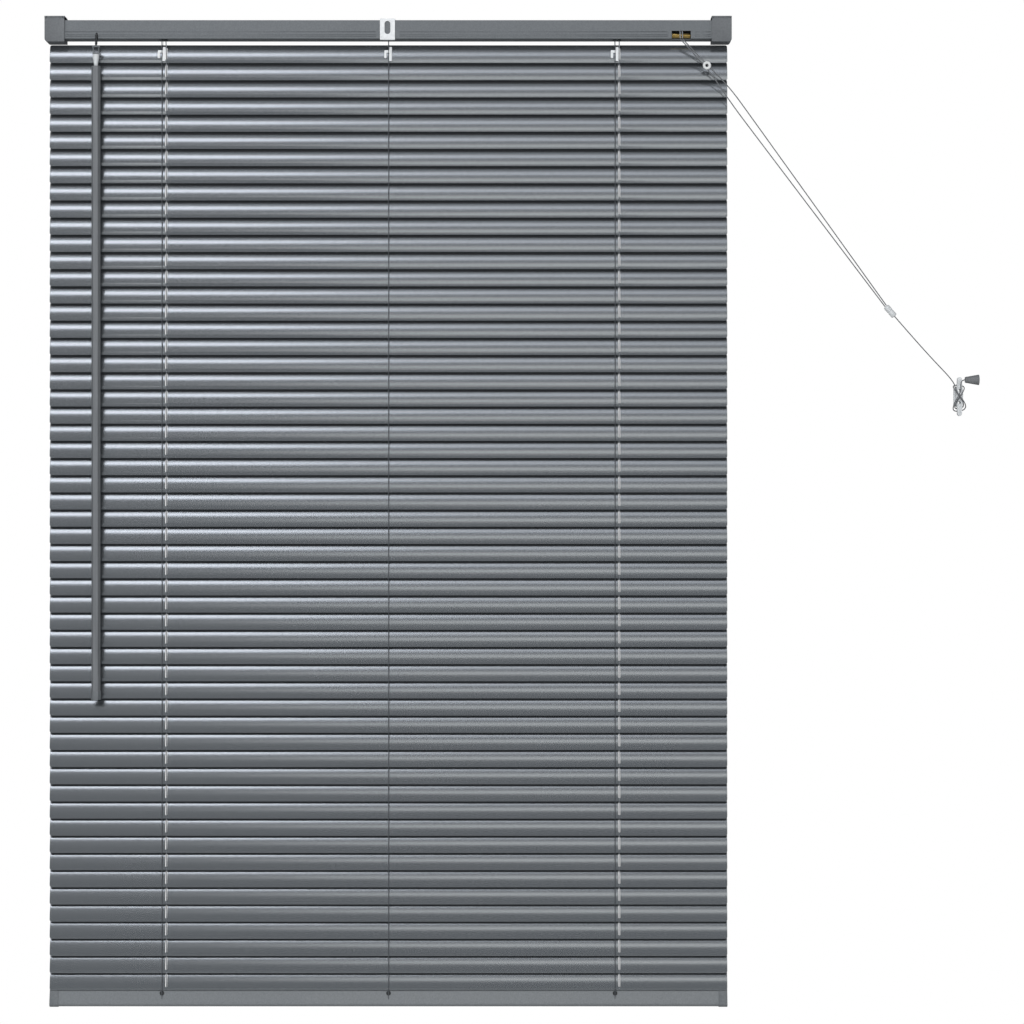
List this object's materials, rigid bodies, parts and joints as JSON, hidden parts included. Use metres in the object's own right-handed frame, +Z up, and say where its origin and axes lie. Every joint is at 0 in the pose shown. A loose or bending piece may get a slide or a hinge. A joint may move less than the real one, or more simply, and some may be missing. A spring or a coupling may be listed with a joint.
{
  "type": "venetian blind",
  "caption": "Horizontal slatted window blind with a slim head rail, corded ladders, a tilt wand, a locking lift cord and a wall cleat, shown lowered and closed.",
  "frame": {"origin": "centre of the four bracket screw holes, in the plane of the wall", "axes": "+X right, -Y out from the wall into the room, +Z up along the blind's height"},
  "size_m": [1.2251, 0.0397, 1.3004],
  "materials": {
    "bracket_paint": "satin",
    "rail_paint": "satin",
    "slat_paint": "satin",
    "bottom_paint": "satin",
    "grey_plastic": "satin",
    "dark_plastic": "matte",
    "nylon": "matte",
    "white_plastic": "gloss",
    "clear_plastic": "gloss",
    "wand_plastic": "gloss",
    "zinc": "zinc plated",
    "brass": "drawn",
    "string": "braided polyester",
    "cord": "braided polyester"
  },
  "bodies": {
    "headrail": {"head_rail": "rail_paint", "rail_end_caps": "grey_plastic", "box_bracket_left": "bracket_paint", "box_bracket_right": "bracket_paint", "centre_support_clip": "white_plastic", "tilter_housing": "dark_plastic", "drum_cradles": "nylon", "cord_eyelets": "nylon", "cord_lock_body": "dark_plastic", "ladder_heads": "string", "lift_cord_left": "cord", "lift_cord_right": "cord", "slat_pack_01": "slat_paint", "ladder_clips": "clear_plastic", "cleat": "clear_plastic", "pull_cord_upper": "cord", "pull_cord_lower": "cord", "cord_stop_ring": "white_plastic", "cord_joiner": "clear_plastic", "pull_cord_tail": "cord", "tassel": "grey_plastic"},
    "rod": {"tilt_rod": "zinc", "worm_gear": "nylon", "ladder_drums": "nylon"},
    "worm": {"worm": "dark_plastic"},
    "hook": {"wand_hook": "grey_plastic"},
    "wand": {"wand_sleeve": "clear_plastic", "wand": "wand_plastic", "wand_tip": "grey_plastic"},
    "cover_left": {"bracket_cover_left": "bracket_paint"},
    "cover_right": {"bracket_cover_right": "bracket_paint"},
    "roller": {"cord_lock_roller": "brass"},
    "pawl": {"cord_lock_pawl": "brass"},
    "ladder_front": {"ladder_front_strings": "string"},
    "ladder_back": {"ladder_back_strings": "string"},
    "bottom": {"bottom_rail": "bottom_paint", "bottom_rail_caps": "grey_plastic", "ladder_plugs": "dark_plastic", "cord_knots": "cord"},
    "pack_02": {"slat_pack_02": "slat_paint"},
    "pack_03": {"slat_pack_03": "slat_paint"},
    "pack_04": {"slat_pack_04": "slat_paint"},
    "pack_05": {"slat_pack_05": "slat_paint"},
    "pack_06": {"slat_pack_06": "slat_paint"},
    "pack_07": {"slat_pack_07": "slat_paint"},
    "pack_08": {"slat_pack_08": "slat_paint"},
    "pack_09": {"slat_pack_09": "slat_paint"},
    "pack_10": {"slat_pack_10": "slat_paint"},
    "pack_11": {"slat_pack_11": "slat_paint"},
    "slat_03": {"slat_03": "slat_paint"},
    "slat_08": {"slat_08": "slat_paint"},
    "slat_13": {"slat_13": "slat_paint"},
    "slat_18": {"slat_18": "slat_paint"},
    "slat_23": {"slat_23": "slat_paint"},
    "slat_28": {"slat_28": "slat_paint"},
    "slat_33": {"slat_33": "slat_paint"},
    "slat_38": {"slat_38": "slat_paint"},
    "slat_43": {"slat_43": "slat_paint"},
    "slat_48": {"slat_48": "slat_paint"},
    "slat_53": {"slat_53": "slat_paint"}
  },
  "joints": [
    {"name": "tilt", "type": "hinge", "parent": "headrail", "child": "rod", "pos_m": [0, -0.0147, 0], "axis": [1, 0, 0], "range_deg": [-75, 0], "deforming": ["ladder_heads"]},
    {"name": "worm_spin", "type": "hinge", "parent": "headrail", "child": "worm", "pos_m": [-0.382, -0.02128, 0.00304], "axis": [0, -0.4193, -0.9079], "range_deg": [-1800, 0]},
    {"name": "wand_swing", "type": "hinge", "parent": "headrail", "child": "hook", "pos_m": [-0.382, -0.034, -0.0245], "axis": [1, 0, 0], "range_deg": [-60, 0]},
    {"name": "wand_turn", "type": "hinge", "parent": "hook", "child": "wand", "pos_m": [-0.382, -0.034, -0.045], "axis": [0, 0, -1], "range_deg": [-1800, 0]},
    {"name": "cover_left_hinge", "type": "hinge", "parent": "headrail", "child": "cover_left", "pos_m": [-0.437, -0.0292, 0.0152], "axis": [-1, 0, 0], "range_deg": [0, 110]},
    {"name": "cover_right_hinge", "type": "hinge", "parent": "headrail", "child": "cover_right", "pos_m": [0.437, -0.0292, 0.0152], "axis": [-1, 0, 0], "range_deg": [0, 110]},
    {"name": "roller_spin", "type": "hinge", "parent": "headrail", "child": "roller", "pos_m": [0.384, -0.0225, -0.0086], "axis": [1, 0, 0], "continuous": true},
    {"name": "pawl_swing", "type": "hinge", "parent": "headrail", "child": "pawl", "pos_m": [0.384, -0.0155, -0.0006], "axis": [1, 0, 0], "range_deg": [-25, 0]},
    {"name": "ladder_front_run", "type": "slide", "parent": "headrail", "child": "ladder_front", "axis": [0, -0.6088, 0.7934], "range_m": [0, 0.01524]},
    {"name": "ladder_back_run", "type": "slide", "parent": "headrail", "child": "ladder_back", "axis": [0, 0.6088, -0.7934], "range_m": [0, 0.01524]},
    {"name": "lift_pack_02", "type": "slide", "parent": "headrail", "child": "pack_02", "axis": [0, 0, 1], "range_m": [0, 0.10622]},
    {"name": "lift_pack_03", "type": "slide", "parent": "headrail", "child": "pack_03", "axis": [0, 0, 1], "range_m": [0, 0.21242]},
    {"name": "lift_pack_04", "type": "slide", "parent": "headrail", "child": "pack_04", "axis": [0, 0, 1], "range_m": [0, 0.31862]},
    {"name": "lift_pack_05", "type": "slide", "parent": "headrail", "child": "pack_05", "axis": [0, 0, 1], "range_m": [0, 0.42482]},
    {"name": "lift_pack_06", "type": "slide", "parent": "headrail", "child": "pack_06", "axis": [0, 0, 1], "range_m": [0, 0.53102]},
    {"name": "lift_pack_07", "type": "slide", "parent": "headrail", "child": "pack_07", "axis": [0, 0, 1], "range_m": [0, 0.63722]},
    {"name": "lift_pack_08", "type": "slide", "parent": "headrail", "child": "pack_08", "axis": [0, 0, 1], "range_m": [0, 0.74342]},
    {"name": "lift_pack_09", "type": "slide", "parent": "headrail", "child": "pack_09", "axis": [0, 0, 1], "range_m": [0, 0.84962]},
    {"name": "lift_pack_10", "type": "slide", "parent": "headrail", "child": "pack_10", "axis": [0, 0, 1], "range_m": [0, 0.95582]},
    {"name": "lift", "type": "slide", "parent": "headrail", "child": "pack_11", "axis": [0, 0, 1], "range_m": [0, 1.062], "deforming": ["ladder_front_strings", "ladder_back_strings", "lift_cord_left", "lift_cord_right", "slat_pack_01", "slat_pack_02", "slat_pack_03", "slat_pack_04", "slat_pack_05", "slat_pack_06", "slat_pack_07", "slat_pack_08", "slat_pack_09", "slat_pack_10", "slat_pack_11"]},
    {"name": "slat_03_tilt", "type": "hinge", "parent": "headrail", "child": "slat_03", "pos_m": [0, -0.0147, -0.0766], "axis": [1, 0, 0], "range_deg": [-75, 0]},
    {"name": "slat_08_tilt", "type": "hinge", "parent": "pack_02", "child": "slat_08", "pos_m": [0, -0.0147, -0.18935], "axis": [1, 0, 0], "range_deg": [-75, 0]},
    {"name": "slat_13_tilt", "type": "hinge", "parent": "pack_03", "child": "slat_13", "pos_m": [0, -0.0147, -0.3021], "axis": [1, 0, 0], "range_deg": [-75, 0]},
    {"name": "slat_18_tilt", "type": "hinge", "parent": "pack_04", "child": "slat_18", "pos_m": [0, -0.0147, -0.41485], "axis": [1, 0, 0], "range_deg": [-75, 0]},
    {"name": "slat_23_tilt", "type": "hinge", "parent": "pack_05", "child": "slat_23", "pos_m": [0, -0.0147, -0.5276], "axis": [1, 0, 0], "range_deg": [-75, 0]},
    {"name": "slat_28_tilt", "type": "hinge", "parent": "pack_06", "child": "slat_28", "pos_m": [0, -0.0147, -0.64035], "axis": [1, 0, 0], "range_deg": [-75, 0]},
    {"name": "slat_33_tilt", "type": "hinge", "parent": "pack_07", "child": "slat_33", "pos_m": [0, -0.0147, -0.7531], "axis": [1, 0, 0], "range_deg": [-75, 0]},
    {"name": "slat_38_tilt", "type": "hinge", "parent": "pack_08", "child": "slat_38", "pos_m": [0, -0.0147, -0.86585], "axis": [1, 0, 0], "range_deg": [-75, 0]},
    {"name": "slat_43_tilt", "type": "hinge", "parent": "pack_09", "child": "slat_43", "pos_m": [0, -0.0147, -0.9786], "axis": [1, 0, 0], "range_deg": [-75, 0]},
    {"name": "slat_48_tilt", "type": "hinge", "parent": "pack_10", "child": "slat_48", "pos_m": [0, -0.0147, -1.09135], "axis": [1, 0, 0], "range_deg": [-75, 0]},
    {"name": "slat_53_tilt", "type": "hinge", "parent": "pack_11", "child": "slat_53", "pos_m": [0, -0.0147, -1.2041], "axis": [1, 0, 0], "range_deg": [-75, 0]},
    {"name": "bottom_rail_tilt", "type": "hinge", "parent": "pack_11", "child": "bottom", "pos_m": [0, -0.0147, -1.2717], "axis": [1, 0, 0], "range_deg": [-75, 0]}
  ],
  "couplings": [
    {"joint": "worm_spin", "follows": "tilt", "ratio": 24},
    {"joint": "wand_turn", "follows": "tilt", "ratio": 24},
    {"joint": "ladder_front_run", "follows": "tilt", "m_per_rad": -0.011626},
    {"joint": "ladder_back_run", "follows": "tilt", "m_per_rad": -0.011626},
    {"joint": "lift_pack_02", "follows": "lift", "ratio": 0.1},
    {"joint": "lift_pack_03", "follows": "lift", "ratio": 0.2},
    {"joint": "lift_pack_04", "follows": "lift", "ratio": 0.3},
    {"joint": "lift_pack_05", "follows": "lift", "ratio": 0.4},
    {"joint": "lift_pack_06", "follows": "lift", "ratio": 0.5},
    {"joint": "lift_pack_07", "follows": "lift", "ratio": 0.6},
    {"joint": "lift_pack_08", "follows": "lift", "ratio": 0.7},
    {"joint": "lift_pack_09", "follows": "lift", "ratio": 0.8},
    {"joint": "lift_pack_10", "follows": "lift", "ratio": 0.9},
    {"joint": "slat_03_tilt", "follows": "tilt", "ratio": 1},
    {"joint": "slat_08_tilt", "follows": "tilt", "ratio": 1},
    {"joint": "slat_13_tilt", "follows": "tilt", "ratio": 1},
    {"joint": "slat_18_tilt", "follows": "tilt", "ratio": 1},
    {"joint": "slat_23_tilt", "follows": "tilt", "ratio": 1},
    {"joint": "slat_28_tilt", "follows": "tilt", "ratio": 1},
    {"joint": "slat_33_tilt", "follows": "tilt", "ratio": 1},
    {"joint": "slat_38_tilt", "follows": "tilt", "ratio": 1},
    {"joint": "slat_43_tilt", "follows": "tilt", "ratio": 1},
    {"joint": "slat_48_tilt", "follows": "tilt", "ratio": 1},
    {"joint": "slat_53_tilt", "follows": "tilt", "ratio": 1},
    {"joint": "bottom_rail_tilt", "follows": "tilt", "ratio": 1}
  ]
}
